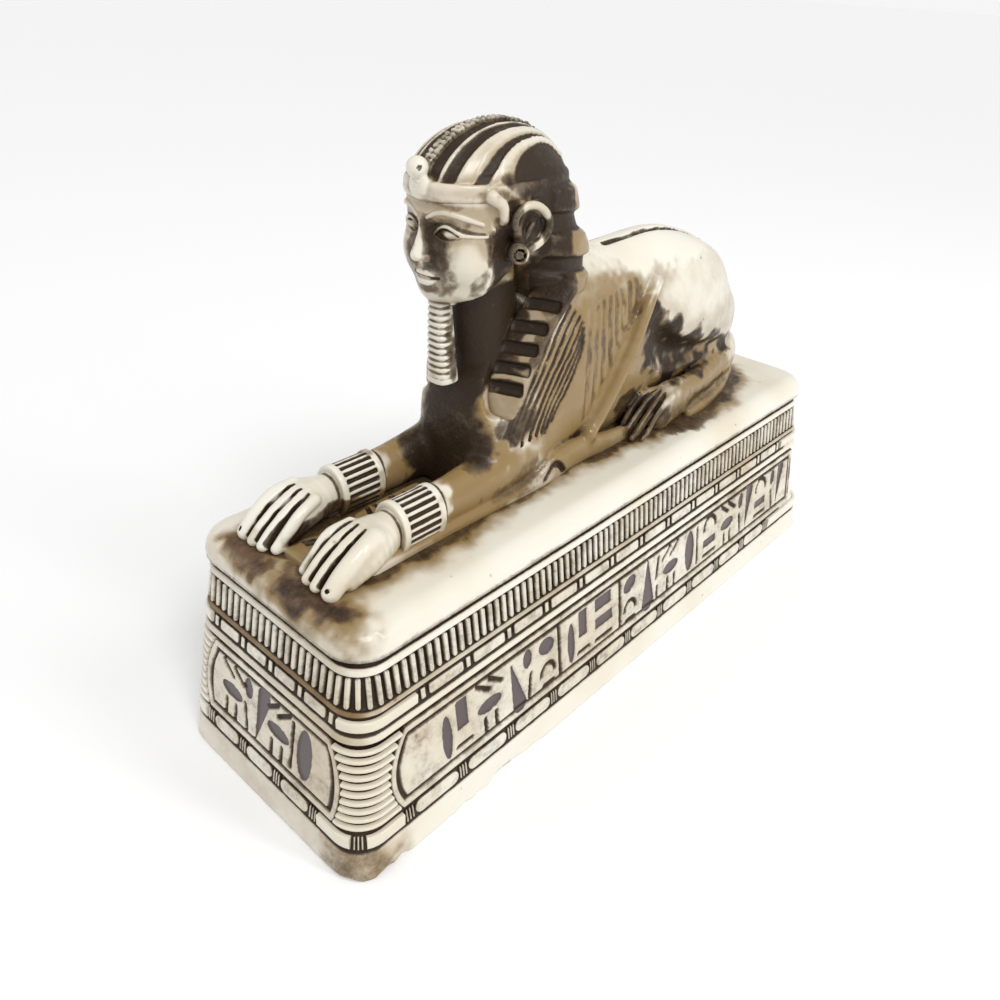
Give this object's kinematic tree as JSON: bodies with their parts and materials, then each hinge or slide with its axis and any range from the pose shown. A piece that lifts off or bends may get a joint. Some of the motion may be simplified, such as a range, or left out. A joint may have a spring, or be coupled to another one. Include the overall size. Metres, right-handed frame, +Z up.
{
  "type": "sphinx statuette",
  "caption": "Recumbent human-headed, human-handed sphinx with a striped headcloth, cast in one with a tall battered plinth carved with reeds, blocks and strokes.",
  "frame": {"origin": "middle of the flat underside, which is also the middle of the bounding box's bottom", "axes": "+Z up; the sphinx looks along -Y, its tail end is +Y; its left side is +X"},
  "size_m": [0.0476, 0.1502, 0.1001],
  "materials": {
    "cast_resin": "polished ivory-coloured cold-cast resin, with ochre and dark brown antiquing wash in the carving"
  },
  "bodies": {
    "root": {"sphinx_on_plinth": "cast_resin"}
  },
  "joints": []
}
